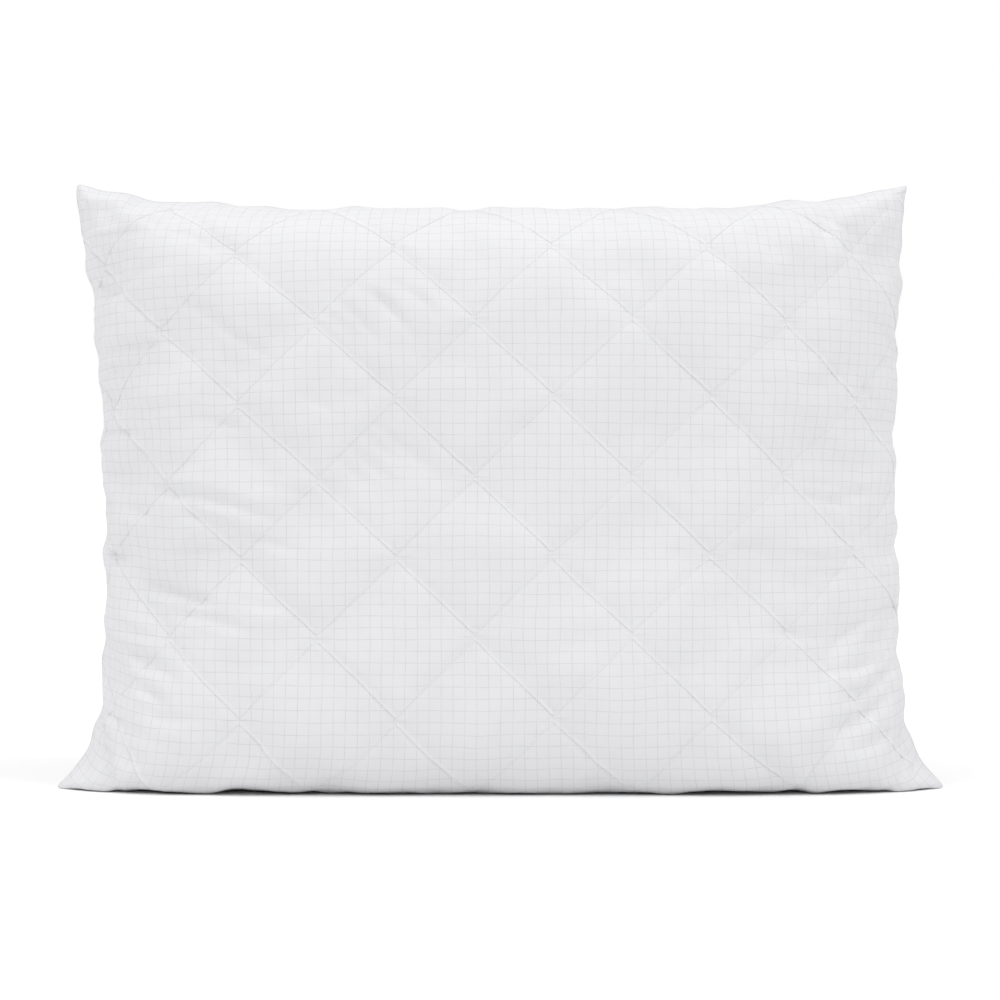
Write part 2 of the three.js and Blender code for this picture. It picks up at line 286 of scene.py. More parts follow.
# Thin coloured threads woven in both ways, a little wavy as the cloth was pulled
def makeWovenCheck():
    group, given, made = newGroup(
        "wovenCheck",
        [
            "Pitch Across", "Pitch Up", "Line Width", "Waver",
        ],
        ["Mask"],
    )
    ripple = noiseNode(group, given.outputs["Vector"], 26, 3)
    moved = vectorNode(group, "SUBTRACT", ripple.outputs["Color"], 0.5)
    scaled = group.nodes.new("ShaderNodeVectorMath")
    scaled.operation = "SCALE"
    group.links.new(moved, scaled.inputs[0])
    group.links.new(given.outputs["Waver"], scaled.inputs["Scale"])
    place = vectorNode(group, "ADD", given.outputs["Vector"], scaled.outputs[0])
    split = group.nodes.new("ShaderNodeSeparateXYZ")
    group.links.new(place, split.inputs[0])
    lines = []
    for axis, pitch in (("X", "Pitch Across"), ("Y", "Pitch Up")):
        share = mathNode(group, "DIVIDE", split.outputs[axis], given.outputs[pitch])
        centred = mathNode(group, "SUBTRACT", mathNode(group, "FRACT", share), 0.5)
        away = mathNode(group, "MULTIPLY", mathNode(group, "ABSOLUTE", centred), given.outputs[pitch])
        edge = mathNode(group, "SUBTRACT", given.outputs["Line Width"], away)
        soft = mathNode(group, "DIVIDE", edge, given.outputs["Line Width"])
        doubled = mathNode(group, "MULTIPLY", soft, 2)
        lines.append(mathNode(group, "MINIMUM", mathNode(group, "MAXIMUM", doubled, 0), 1))
    both = mathNode(group, "MAXIMUM", lines[0], lines[1])
    worn = noiseNode(group, given.outputs["Vector"], 90, 2)
    strength = mathNode(group, "MULTIPLY_ADD", worn.outputs["Fac"], 1.7, -0.05)
    strength = mathNode(group, "MAXIMUM", mathNode(group, "MINIMUM", strength, 1), 0.1)
    group.links.new(mathNode(group, "MULTIPLY", both, strength), made.inputs["Mask"])
    return group


# Over and under of a plain weave, and slubs where a thread is thicker
def makePlainWeave():
    group, given, made = newGroup("plainWeave", ["Thread Pitch", "Slub"], ["Height", "Tone"])
    split = group.nodes.new("ShaderNodeSeparateXYZ")
    group.links.new(given.outputs["Vector"], split.inputs[0])
    waves = []
    for axis in ("X", "Y"):
        turn = mathNode(group, "DIVIDE", split.outputs[axis], given.outputs["Thread Pitch"])
        waves.append(mathNode(group, "SINE", mathNode(group, "MULTIPLY", turn, math.pi)))
    over = mathNode(group, "MULTIPLY", waves[0], waves[1])
    slubs = []
    for stretch in ((40, 900, 1), (900, 40, 1)):
        pulled = vectorNode(group, "MULTIPLY", given.outputs["Vector"], stretch)
        slubs.append(noiseNode(group, pulled, 1, 2).outputs["Fac"])
    slub = mathNode(group, "SUBTRACT", mathNode(group, "ADD", slubs[0], slubs[1]), 1)
    uneven = mathNode(group, "MULTIPLY", slub, given.outputs["Slub"])
    group.links.new(mathNode(group, "MULTIPLY_ADD", over, 0.5, uneven), made.inputs["Height"])
    group.links.new(mathNode(group, "MULTIPLY_ADD", uneven, 0.5, 0.5), made.inputs["Tone"])
    return group


# Slow change of tone over a textile, from handling and uneven bleach
def makeClothTone():
    group, given, made = newGroup(
        "clothTone",
        [
            "Scale", "Amount", "Light Color", "Shade Color",
        ],
        ["Color"],
    )
    cloud = noiseNode(group, given.outputs["Vector"], 14, 4)
    group.links.new(given.outputs["Scale"], cloud.inputs["Scale"])
    centred = mathNode(group, "SUBTRACT", cloud.outputs["Fac"], 0.5)
    share = mathNode(group, "MULTIPLY_ADD", centred, given.outputs["Amount"], 0.5)
    mix = group.nodes.new("ShaderNodeMix")
    mix.data_type = "RGBA"
    group.links.new(share, mix.inputs["Factor"])
    group.links.new(given.outputs["Shade Color"], mix.inputs["A"])
    group.links.new(given.outputs["Light Color"], mix.inputs["B"])
    group.links.new(mix.outputs["Result"], made.inputs["Color"])
    return group


# Loose fibres lying in every direction, for wadding, fill and the nap of thread
def makeFibreNap():
    group, given, made = newGroup("fibreNap", ["Scale"], ["Height", "Tone"])
    bent = noiseNode(group, given.outputs["Vector"], 60, 3)
    pushed = vectorNode(group, "MULTIPLY", bent.outputs["Color"], 0.02)
    place = vectorNode(group, "ADD", given.outputs["Vector"], pushed)
    strands = []
    for stretch in ((1, 0.12, 0.3), (0.12, 1, 0.3), (0.3, 0.12, 1)):
        pulled = vectorNode(group, "MULTIPLY", place, stretch)
        strand = noiseNode(group, pulled, 300, 4)
        group.links.new(given.outputs["Scale"], strand.inputs["Scale"])
        strands.append(strand.outputs["Fac"])
    top = mathNode(group, "MAXIMUM", mathNode(group, "MAXIMUM", strands[0], strands[1]), strands[2])
    group.links.new(top, made.inputs["Height"])
    group.links.new(mathNode(group, "MULTIPLY_ADD", top, 0.6, 0.2), made.inputs["Tone"])
    return group


# The sharp crease along each line of quilting. The lines that fall to the right were pulled tighter
# than those that rise.
def makeQuiltCrease():
    group, given, made = newGroup(
        "quiltCrease",
        [
            "Left Margin", "Bottom Margin", "Column Pitch", "Row Pitch", "Rows",
            "Crossing Gap", "Tilt", "Panel Width", "Crease Width", "Upper Slope",
            "Rising Share", "Pucker",
        ],
        ["Height"],
    )

    def calc(operation, first, second=None, third=None):
        return mathNode(group, operation, first, second, third)

    value = given.outputs
    split = group.nodes.new("ShaderNodeSeparateXYZ")
    group.links.new(value["Vector"], split.inputs[0])
    across = calc("SUBTRACT", split.outputs["X"], value["Left Margin"])
    across = calc("DIVIDE", across, value["Column Pitch"])
    share = calc("DIVIDE", split.outputs["X"], value["Panel Width"])
    lean = calc("MULTIPLY", calc("MULTIPLY_ADD", share, 2, -1), value["Tilt"])
    up = calc("SUBTRACT", calc("SUBTRACT", split.outputs["Y"], value["Bottom Margin"]), lean)
    up = calc("DIVIDE", up, value["Row Pitch"])
    turn = calc("FLOORED_MODULO", calc("ADD", across, calc("FLOOR", up)), 2)
    swing = calc("ABSOLUTE", calc("SUBTRACT", turn, 1))
    gap = calc("DIVIDE", value["Crossing Gap"], value["Row Pitch"])
    level = calc("MULTIPLY_ADD", calc("SUBTRACT", 1, gap), swing, calc("MULTIPLY", gap, 0.5))
    offset = calc("SUBTRACT", calc("FRACT", up), level)
    pitch = calc("MULTIPLY", value["Row Pitch"], math.sqrt(0.5))
    away = calc("MULTIPLY", calc("ABSOLUTE", offset), pitch)
    width = calc("MULTIPLY_ADD", calc("GREATER_THAN", offset, 0), value["Upper Slope"], 1)
    width = calc("MULTIPLY", width, value["Crease Width"])
    near = calc("EXPONENT", calc("MULTIPLY", calc("DIVIDE", away, width), -1))
    falling = calc("LESS_THAN", turn, 1)
    rising = value["Rising Share"]
    tight = calc("MULTIPLY_ADD", falling, calc("SUBTRACT", 1, rising), rising)
    uneven = noiseNode(group, value["Vector"], 150, 2).outputs["Fac"]
    tight = calc("MULTIPLY", tight, calc("MULTIPLY_ADD", uneven, value["Pucker"], 0.85))
    sewn = calc("MULTIPLY", calc("GREATER_THAN", up, 0), calc("LESS_THAN", up, value["Rows"]))
    depth = calc("MULTIPLY", calc("MULTIPLY", near, tight), sewn)
    group.links.new(calc("MULTIPLY", depth, -1), made.inputs["Height"])
    return group


wovenCheck = makeWovenCheck()
quiltCrease = makeQuiltCrease()
plainWeave = makePlainWeave()
clothTone = makeClothTone()
fibreNap = makeFibreNap()


def placeGroup(tree, group, vector, **values):
    node = tree.nodes.new("ShaderNodeGroup")
    node.node_tree = group
    tree.links.new(vector, node.inputs["Vector"])
    for label, value in values.items():
        node.inputs[label].default_value = value
    return node


def placeTone(tree, vector, look):
    values = {
        "Scale": look["toneScale"],
        "Amount": look["toneAmount"],
        "Light Color": look["light"],
        "Shade Color": look["shade"],
    }
    return placeGroup(tree, clothTone, vector, **values)


def newMaterial(name, roughness, sheen):
    material = bpy.data.materials.new(name)
    material.use_nodes = True
    shader = material.node_tree.nodes["Principled BSDF"]
    shader.inputs["Roughness"].default_value = roughness
    shader.inputs["Specular IOR Level"].default_value = 0.2
    shader.inputs["Sheen Weight"].default_value = sheen
    shader.inputs["Sheen Roughness"].default_value = 0.5
    return material, material.node_tree, shader


def addRoughness(tree, shader, tone, look):
    roughness = mathNode(tree, "MULTIPLY_ADD", tone, look["rougher"], look["smoothest"])
    tree.links.new(roughness, shader.inputs["Roughness"])


def addBump(tree, shader, height, strength, distance):
    bump = tree.nodes.new("ShaderNodeBump")
    bump.inputs["Strength"].default_value = strength
    bump.inputs["Distance"].default_value = distance
    tree.links.new(height, bump.inputs["Height"])
    tree.links.new(bump.outputs["Normal"], shader.inputs["Normal"])
    return bump


checkedCotton = {
    "light": (0.772, 0.772, 0.787, 1),
    "shade": (0.744, 0.744, 0.758, 1),
    "line": (0.46, 0.46, 0.48, 1),
    "lineShare": 0.36,
    "pitchAcross": 0.0091,
    "pitchUp": 0.0083,
    "lineWidth": 0.00038,
    "waver": 0.0022,
    "creaseWidth": 0.0013,
    "creaseDepth": 0.0011,
    "upperSlope": 1.8,
    "risingShare": 0.45,
    # how strongly the painted highlight along each quilting crease lightens the cloth's colour
    "paintedHighlightShare": 0.6,
    "pucker": 0.35,
    "toneScale": 9,
    "toneAmount": 0.9,
    "threadPitch": 0.00045,
    "slub": 0.5,
    "smoothest": 0.72,
    "rougher": 0.2,
    "weaveBump": 0.25,
    "weaveDepth": 0.0002,
}


def makeCheckedCotton():
    material, tree, shader = newMaterial("checkedCotton", 0.85, 0.08)
    cloth = tree.nodes.new("ShaderNodeUVMap")
    cloth.uv_map = "cloth"
    place = cloth.outputs["UV"]
    tone = placeTone(tree, place, checkedCotton)
    check = placeGroup(
        tree, wovenCheck, place,
        **{
            "Pitch Across": checkedCotton["pitchAcross"],
            "Pitch Up": checkedCotton["pitchUp"],
            "Line Width": checkedCotton["lineWidth"],
            "Waver": checkedCotton["waver"],
        },
    )
    weave = placeGroup(
        tree, plainWeave, place,
        **{"Thread Pitch": checkedCotton["threadPitch"], "Slub": checkedCotton["slub"]},
    )
    mix = tree.nodes.new("ShaderNodeMix")
    mix.data_type = "RGBA"
    shown = mathNode(tree, "MULTIPLY", check.outputs["Mask"], checkedCotton["lineShare"])
    tree.links.new(shown, mix.inputs["Factor"])
    tree.links.new(tone.outputs["Color"], mix.inputs["A"])
    mix.inputs["B"].default_value = checkedCotton["line"]
    addRoughness(tree, shader, weave.outputs["Tone"], checkedCotton)
    crease = placeGroup(
        tree, quiltCrease, place,
        **{
            "Left Margin": quilting["leftMargin"],
            "Bottom Margin": quilting["bottomMargin"],
            "Column Pitch": columnPitch,
            "Row Pitch": rowPitch,
            "Rows": quilting["rows"],
            "Crossing Gap": quilting["crossingGap"],
            "Tilt": quilting["tilt"],
            "Panel Width": pillow["flatWidth"],
            "Crease Width": checkedCotton["creaseWidth"],
            "Upper Slope": checkedCotton["upperSlope"],
            "Rising Share": checkedCotton["risingShare"],
            "Pucker": checkedCotton["pucker"],
        },
    )
    # Painted highlight: along the core of each quilting crease, strongest on the lines that fall to the
    # right, the base colour is lightened towards the sewing thread's white to stand in for the light
    # the creases catch
    highlightCore = mathNode(tree, "POWER", mathNode(tree, "MULTIPLY", crease.outputs["Height"], -1), 3)
    paintedHighlight = tree.nodes.new("ShaderNodeMix")
    paintedHighlight.data_type = "RGBA"
    tree.links.new(mathNode(tree, "MULTIPLY", highlightCore, checkedCotton["paintedHighlightShare"]), paintedHighlight.inputs["Factor"])
    tree.links.new(mix.outputs["Result"], paintedHighlight.inputs["A"])
    paintedHighlight.inputs["B"].default_value = inside["sewingThread"]["light"]
    tree.links.new(paintedHighlight.outputs["Result"], shader.inputs["Base Color"])
    height, strength = weave.outputs["Height"], checkedCotton["weaveBump"]
    weaveBump = addBump(tree, shader, height, strength, checkedCotton["weaveDepth"])
    creaseBump = addBump(tree, shader, crease.outputs["Height"], 1, checkedCotton["creaseDepth"])
    tree.links.new(creaseBump.outputs["Normal"], weaveBump.inputs["Normal"])
    tree.links.new(weaveBump.outputs["Normal"], shader.inputs["Normal"])
    return material


looseFibre = {
    "sheen": 0.1, "toneScale": 30, "toneAmount": 0.8,
    "smoothest": 0.65, "rougher": 0.3, "bumpDepth": 0.0005,
}
inside = {
    "wadding": {
        **looseFibre, "fibreScale": 260, "bump": 0.5,
        "light": (0.86, 0.86, 0.85, 1), "shade": (0.74, 0.74, 0.73, 1),
    },
    "fibreFill": {
        **looseFibre, "fibreScale": 160, "bump": 0.7,
        "light": (0.88, 0.88, 0.88, 1), "shade": (0.76, 0.76, 0.77, 1),
    },
    "sewingThread": {
        **looseFibre, "fibreScale": 1500, "bump": 0.2,
        "light": (0.93, 0.93, 0.94, 1), "shade": (0.82, 0.82, 0.84, 1),
    },
    "liningFleece": {
        "fibreScale": 500, "bump": 0.3, "bumpDepth": 0.0003,
        "light": (0.84, 0.84, 0.84, 1), "shade": (0.77, 0.77, 0.78, 1),
        "sheen": 0.05, "toneScale": 20, "toneAmount": 0.8, "smoothest": 0.75, "rougher": 0.2,
    },
}


def makeFibreMaterial(name):
    look = inside[name]
    material, tree, shader = newMaterial(name, 0.9, look["sheen"])
    place = tree.nodes.new("ShaderNodeTexCoord").outputs["Object"]
    nap = placeGroup(tree, fibreNap, place, Scale=look["fibreScale"])
    tone = placeTone(tree, place, look)
    tree.links.new(tone.outputs["Color"], shader.inputs["Base Color"])
    addRoughness(tree, shader, nap.outputs["Tone"], look)
    addBump(tree, shader, nap.outputs["Height"], look["bump"], look["bumpDepth"])
    return material


cottonMaterial = makeCheckedCotton()
waddingMaterial = makeFibreMaterial("wadding")
fillMaterial = makeFibreMaterial("fibreFill")
threadMaterial = makeFibreMaterial("sewingThread")
liningMaterial = makeFibreMaterial("liningFleece")
print("materials ready")


# The outer fabric

outerFabric = {
    "cellsAcross": 60,
    "cellsUp": 43,
    "smoothing": 2,
    "frames": 30,
    "slack": 0.06,  # cut this share larger than the shape it settles into
    "tautMiddle": 0.45,
    "slackReach": 0.09,
    "hold": 0.02,
    "stitchHold": 0.30,
    "holdStiffness": 0.5,
    "stretch": 12,
    "shear": 3,
    "bend": 0.5,
    "damping": 3,
    "bendDamping": 0.5,
    "airDamping": 1,
    "mass": 0.01,
    "pressure": 0.1,
    "quality": 4,
    "unevenness": 0.0006,
    "keep": 0.48,  # share of the buckling that stays once the fill has pushed it out
    "keepAtSides": 1.15,
    "farthest": 0.005,
    "foldDepth": 1.1,  # the listed folds are made this much deeper than their table gives
    "foldFade": 0.020,
    "sewnReach": 0.003,
    "lowest": 0.0002,
    "seed": 11,
}


def cutPanel(name, cellsAcross, cellsUp):
    bpy.ops.object.select_all(action="DESELECT")
    bpy.ops.mesh.primitive_grid_add(
        x_subdivisions=cellsAcross, y_subdivisions=cellsUp, size=1, calc_uvs=True,
    )
    piece = bpy.context.object
    piece.name = piece.data.name = name
    layer = piece.data.uv_layers[0]
    layer.name = "cloth"
    places = np.empty(len(layer.uv) * 2, np.float32)
    layer.uv.foreach_get("vector", places)
    places = places.reshape(-1, 2) * (pillow["flatWidth"], pillow["flatHeight"])
    layer.uv.foreach_set("vector", places.astype(np.float32).ravel())
    return piece


# Each vertex's place on the cloth, read from the UV map
def clothPlaces(piece):
    mesh = piece.data
    corners = np.empty(len(mesh.loops), np.int32)
    mesh.loops.foreach_get("vertex_index", corners)
    uv = np.empty(len(mesh.loops) * 2, np.float32)
    mesh.uv_layers["cloth"].uv.foreach_get("vector", uv)
    places = np.zeros((len(mesh.vertices), 2))
    places[corners] = uv.reshape(-1, 2)
    return places[:, 0], places[:, 1]


def readPoints(piece):
    points = np.empty(len(piece.data.vertices) * 3, np.float32)
    piece.data.vertices.foreach_get("co", points)
    return points.reshape(-1, 3).astype(float)


def writePoints(piece, points):
    piece.data.vertices.foreach_set("co", np.asarray(points, np.float32).ravel())
    piece.data.update()


def applyModifiers(piece):
    bpy.ops.object.select_all(action="DESELECT")
    piece.select_set(True)
    bpy.context.view_layer.objects.active = piece
    for modifier in list(piece.modifiers):
        bpy.ops.object.modifier_apply(modifier=modifier.name)


# The vertex at each crossing of the panel's grid, as rows of columns
def gridOrder(p, q, cellsAcross, cellsUp):
    column = np.round(p / pillow["flatWidth"] * cellsAcross).astype(int)
    row = np.round(q / pillow["flatHeight"] * cellsUp).astype(int)
    order = np.full((cellsAcross + 1, cellsUp + 1), -1)
    order[column, row] = np.arange(len(p))
    return order


def gridNormals(grid, side):
    across = np.gradient(grid, axis=0)
    up = np.gradient(grid, axis=1)
    normal = np.cross(across, up) * -side
    return normal / np.maximum(np.linalg.norm(normal, axis=-1, keepdims=True), 1e-12)


# How near a place is to the lines of quilting that fall to the right and to those that rise, with
# the rising ones counting for less
def nearQuilting(p, q, reach):
    tilt = quilting["tilt"] * (2 * p / pillow["flatWidth"] - 1)
    across = (p - quilting["leftMargin"]) / columnPitch
    up = (q - tilt - quilting["bottomMargin"]) / rowPitch
    spacing = 2 / math.hypot(1 / columnPitch, 1 / rowPitch)
    near = []
    for place, share in ((across + up, 1), (across - up, quilting["risingShare"])):
        turns = (place - 1) / 2
        near.append(share * np.exp(-np.abs(turns - np.round(turns)) * spacing / reach))
    quilted = np.clip(1 + 4 * np.minimum(up, quilting["rows"] - up), 0, 1)
    return np.maximum(near[0], near[1]) * quilted


def puffHeight(p, q):
    rise = 1 - nearQuilting(p, q, quilting["puffReach"])
    fade = 1 - np.exp(-seamDistance(p, q) / quilting["edgeFade"])
    return quilting["puff"] * rise * fade


# Short creases that run in from a seam, where it is gathered along its length. For each seam: how
# many, shortest, longest, shallowest, deepest, narrowest, widest.
seamPuckers = {
    "left": (26, 0.030, 0.150, 0.0016, 0.0034, 0.0032, 0.0058),
    "right": (24, 0.025, 0.110, 0.0012, 0.0028, 0.0032, 0.0055),
    "head": (38, 0.012, 0.050, 0.0008, 0.0020, 0.0030, 0.0050),
    "foot": (26, 0.020, 0.060, 0.0008, 0.0020, 0.0040, 0.0060),
    "lean": 0.22,
    "bend": 0.06,
    "jitter": 0.38,
    "shortness": 2.2,
    "fromCorner": 0.012,
}


def makePuckers(seed):
    dice = np.random.default_rng(seed)
    width, height = pillow["flatWidth"], pillow["flatHeight"]
    jitter, bow, corner = (seamPuckers[key] for key in ("jitter", "bend", "fromCorner"))
    folds = []
    for seam in ("left", "right", "head", "foot"):
        count, shortest, longest, shallow, deep, narrow, wide = seamPuckers[seam]
        for step in range(count):
            share = (step + 0.5 + dice.uniform(-jitter, jitter)) / count
            reach = shortest + (longest - shortest) * dice.random() ** seamPuckers["shortness"]
            lean = dice.normal(0, seamPuckers["lean"])
            depth = dice.uniform(shallow, deep)
            spread = dice.uniform(narrow, wide)
            bend = dice.uniform(-bow, bow) * reach
            if seam in ("left", "right"):
                q = corner + share * (height - 2 * corner)
                p, way = (0, 1) if seam == "left" else (width, -1)
                folds.append((p, q, p + way * reach, q + reach * lean, spread, depth, bend, True))
            else:
                p = corner + share * (width - 2 * corner)
                q, way = (height, -1) if seam == "head" else (0, 1)
                folds.append((p, q, p + reach * lean, q + way * reach, spread, depth, bend, True))
    return folds


# Height that creases add to the cloth. Each runs from one place to another; a held one starts at
# full depth and opens out, the others fade at both ends.
def foldHeight(p, q, folds):
    height = np.zeros_like(p)
    for fromP, fromQ, toP, toQ, width, depth, bend, held in folds:
        length = math.hypot(toP - fromP, toQ - fromQ)
        alongP, alongQ = (toP - fromP) / length, (toQ - fromQ) / length
        share = ((p - fromP) * alongP + (q - fromQ) * alongQ) / length
        within = np.clip(share, 0, 1)
        off = (q - fromQ) * alongP - (p - fromP) * alongQ - bend * np.sin(np.pi * within)
        if held:
            spread = width * (0.8 + 1.1 * within)
            strength = np.where(share > -0.1, (1 - within) ** 1.3, 0)
        else:
            spread = width * (1 + 0.3 * np.sin(np.pi * within))
            strength = np.sin(np.pi * within) ** 0.8
        near = (off / spread) ** 2
        height -= depth * strength * (1 - 0.9 * near) * np.exp(-near)
    return height


# Creases listed one by one, in millimetres of cloth: from p, q, to p, q, width, depth, bend
handFolds = {
    -1: [
        (104, 392, 142, 374, 4, 0.9, 2),
        (114, 384, 160, 354, 4, 1.1, 4),
        (132, 370, 180, 345, 4, 1.0, 2),
        (140, 358, 182, 340, 4, 0.8, 3),
        (212, 382, 244, 352, 4, 1.0, 3),
        (222, 392, 262, 350, 4, 1.4, 2),
        (236, 402, 280, 362, 4, 1.3, 4),
        (250, 398, 288, 352, 4, 1.5, 3),
        (262, 404, 306, 372, 4, 1.1, 2),
        (276, 400, 304, 366, 3, 0.8, 4),
        (222, 274, 256, 246, 4, 1.1, -2),
        (234, 282, 276, 247, 4, 1.3, -3),
        (242, 292, 280, 266, 4, 1.0, -3),
        (252, 298, 296, 262, 4, 1.2, -2),
        (148, 211, 203, 197, 4, 1.4, 3),
        (148, 166, 188, 160, 4, 1.1, -2),
        (73, 196, 144, 200, 4, 1.3, 3),
        (42, 180, 118, 176, 4, 0.9, -3),
        (110, 300, 160, 290, 4, 1.0, 3),
        (24, 232, 84, 226, 4, 1.4, 3),
        (18, 260, 70, 268, 4, 1.3, -2),
        (30, 398, 80, 380, 4, 1.2, 3),
        (24, 430, 66, 408, 4, 1.2, 2),
        (100, 452, 138, 430, 4, 0.9, 2),
        (196, 316, 236, 296, 4, 0.8, 2),
        (158, 250, 210, 240, 4, 0.9, 2),
        (4, 352, 100, 357, 5, 2.6, 4),
        (20, 340, 70, 348, 4, 1.6, -2),
        (38, 317, 104, 310, 5, 1.8, -3),
        (6, 286, 66, 292, 5, 1.8, 3),
        (70, 249, 180, 224, 6, 3.2, 5),
        (96, 232, 150, 216, 5, 1.8, 2),
        (32, 194, 136, 163, 6, 1.8, -5),
        (58, 173, 140, 158, 5, 2.4, 3),
        (88, 156, 162, 141, 5, 2.2, 3),
        (20, 146, 84, 136, 5, 1.8, -3),
        (26, 126, 104, 104, 6, 2.6, 4),
        (42, 100, 94, 86, 5, 2.4, 3),
        (60, 84, 120, 78, 5, 1.6, -3),
        (1, 72, 24, 40, 5, 2.6, 2),
        (20, 44, 66, 12, 6, 3.4, 2),
        (577, 243, 634, 233, 5, 2.0, 2),
        (585, 253, 622, 248, 4, 1.4, 1),
        (568, 200, 636, 195, 5, 2.2, -2),
        (585, 188, 628, 184, 5, 1.6, -2),
        (520, 204, 560, 200, 5, 1.0, 1),
        (545, 144, 602, 134, 5, 1.6, 2),
        (606, 237, 664, 246, 5, 1.8, 3),
        (634, 336, 658, 312, 5, 2.4, -2),
        (640, 350, 690, 338, 5, 1.8, 3),
        (600, 111, 668, 118, 5, 2.6, -3),
        (612, 88, 676, 108, 6, 3.0, -4),
        (600, 68, 672, 92, 6, 3.0, -4),
        (616, 54, 680, 66, 5, 2.4, -3),
        (604, 126, 646, 146, 5, 2.0, 3),
        (640, 146, 682, 150, 5, 2.4, 2),
        (650, 108, 684, 64, 5, 2.2, 3),
        (692, 62, 676, 34, 5, 3.0, 2),
        (680, 38, 640, 12, 6, 2.6, 2),
        (582, 470, 614, 446, 4, 1.6, 1),
        (596, 474, 634, 452, 4, 1.4, 1),
        (418, 470, 448, 444, 4, 1.2, 1),
        (60, 470, 96, 450, 4, 1.4, 2),
        (300, 468, 324, 452, 4, 1.0, 1),
    ],
    1: [
        (40, 330, 150, 340, 6, 2.4, 4),
        (30, 250, 110, 230, 6, 2.2, -4),
        (60, 160, 170, 140, 6, 2.6, 4),
        (40, 110, 120, 90, 6, 2.8, 4),
        (230, 300, 280, 262, 5, 1.8, 3),
        (246, 306, 292, 270, 5, 1.6, 3),
        (430, 380, 470, 342, 5, 1.8, 2),
        (444, 388, 486, 352, 5, 1.8, 2),
        (560, 240, 660, 226, 6, 2.4, 3),
        (570, 130, 680, 116, 6, 2.6, -4),
        (540, 90, 640, 82, 6, 2.4, 3),
        (330, 120, 400, 104, 6, 1.8, 2),
    ],
}


def dressPanel(side):
    name = "frontOuterFabric" if side < 0 else "backOuterFabric"
    cells = (outerFabric["cellsAcross"], outerFabric["cellsUp"])
    piece = cutPanel(name, *cells)
    if side > 0:
        bpy.ops.object.mode_set(mode="EDIT")
        bpy.ops.mesh.select_all(action="SELECT")
        bpy.ops.mesh.flip_normals()
        bpy.ops.object.mode_set(mode="OBJECT")
    p, q = clothPlaces(piece)
    shape = filledShape(p, q, side)
    writePoints(piece, shape)
    settleCloth(piece, p, q, shape)
    subdivision = piece.modifiers.new("smooth", "SUBSURF")
    subdivision.levels = subdivision.render_levels = outerFabric["smoothing"]
    applyModifiers(piece)
    p, q = clothPlaces(piece)
    fine = tuple(count * 2 ** outerFabric["smoothing"] for count in cells)
    order = gridOrder(p, q, *fine)
    points = readPoints(piece)
    normals = np.empty_like(points)
    normals[order] = gridNormals(points[order], side)
    folds = makePuckers(outerFabric["seed"] + side)
    for fold in handFolds[side]:
        fromP, fromQ, toP, toQ, width, depth, bend = (value / 1000 for value in fold)
        folds.append((fromP, fromQ, toP, toQ, width, depth * outerFabric["foldDepth"], bend, False))
    clear = 1 - np.exp(-seamDistance(p, q) / outerFabric["foldFade"])
    loft = puffHeight(p, q) + foldHeight(p, q, folds) * clear
    loft -= quilting["dent"] * nearQuilting(p, q, quilting["dentReach"])
    points += normals * loft[:, None]
    points += seamShift(p, q, side)
    points[:, 2] = np.maximum(points[:, 2], outerFabric["lowest"])
    writePoints(piece, points)
    grid = points[order]
    return piece, grid, gridNormals(grid, side), loft[order]


# Small scallops of the seam between its gathers, the same on both panels, and the lift of the
# quilted foot between the places where it touches down
def seamShift(p, q, side):
    shift = np.zeros(p.shape + (3,))
    upShare, acrossShare = q / pillow["flatHeight"], 2 * p / pillow["flatWidth"] - 1
    for length, size, turn in scallops["sides"]:
        wave = size * np.sin(2 * math.pi * q / length + turn + np.sign(acrossShare))
        shift[..., 0] += wave * np.sign(acrossShare) * np.abs(acrossShare) ** 24
    for length, size, turn in scallops["head"]:
        shift[..., 2] += size * np.sin(2 * math.pi * p / length + turn) * upShare**30
    fromEdge = np.maximum(0, q - scallops["footEdge"][side]) / scallops["footReach"]
    for length, size, turn in scallops["foot"]:
        lift = size * np.abs(np.sin(math.pi * p / length + turn)) ** 3
        shift[..., 2] += lift * np.exp(-fromEdge) * (1 - np.abs(acrossShare) ** 12)
    return shift


scallops = {  # wave length, height, turn
    "sides": [(0.083, 0.0011, 0.4), (0.047, 0.0009, 2.1), (0.029, 0.0006, 4.0)],
    "head": [(0.116, 0.0012, 1.0), (0.061, 0.0008, 3.1), (0.037, 0.0005, 0.2)],
    "foot": [(0.083, 0.0010, 0.5), (0.041, 0.0007, 1.9), (0.059, 0.0006, 0.1)],
    "footEdge": {-1: 0.014, 1: 0.046},
    "footReach": 0.006,
}


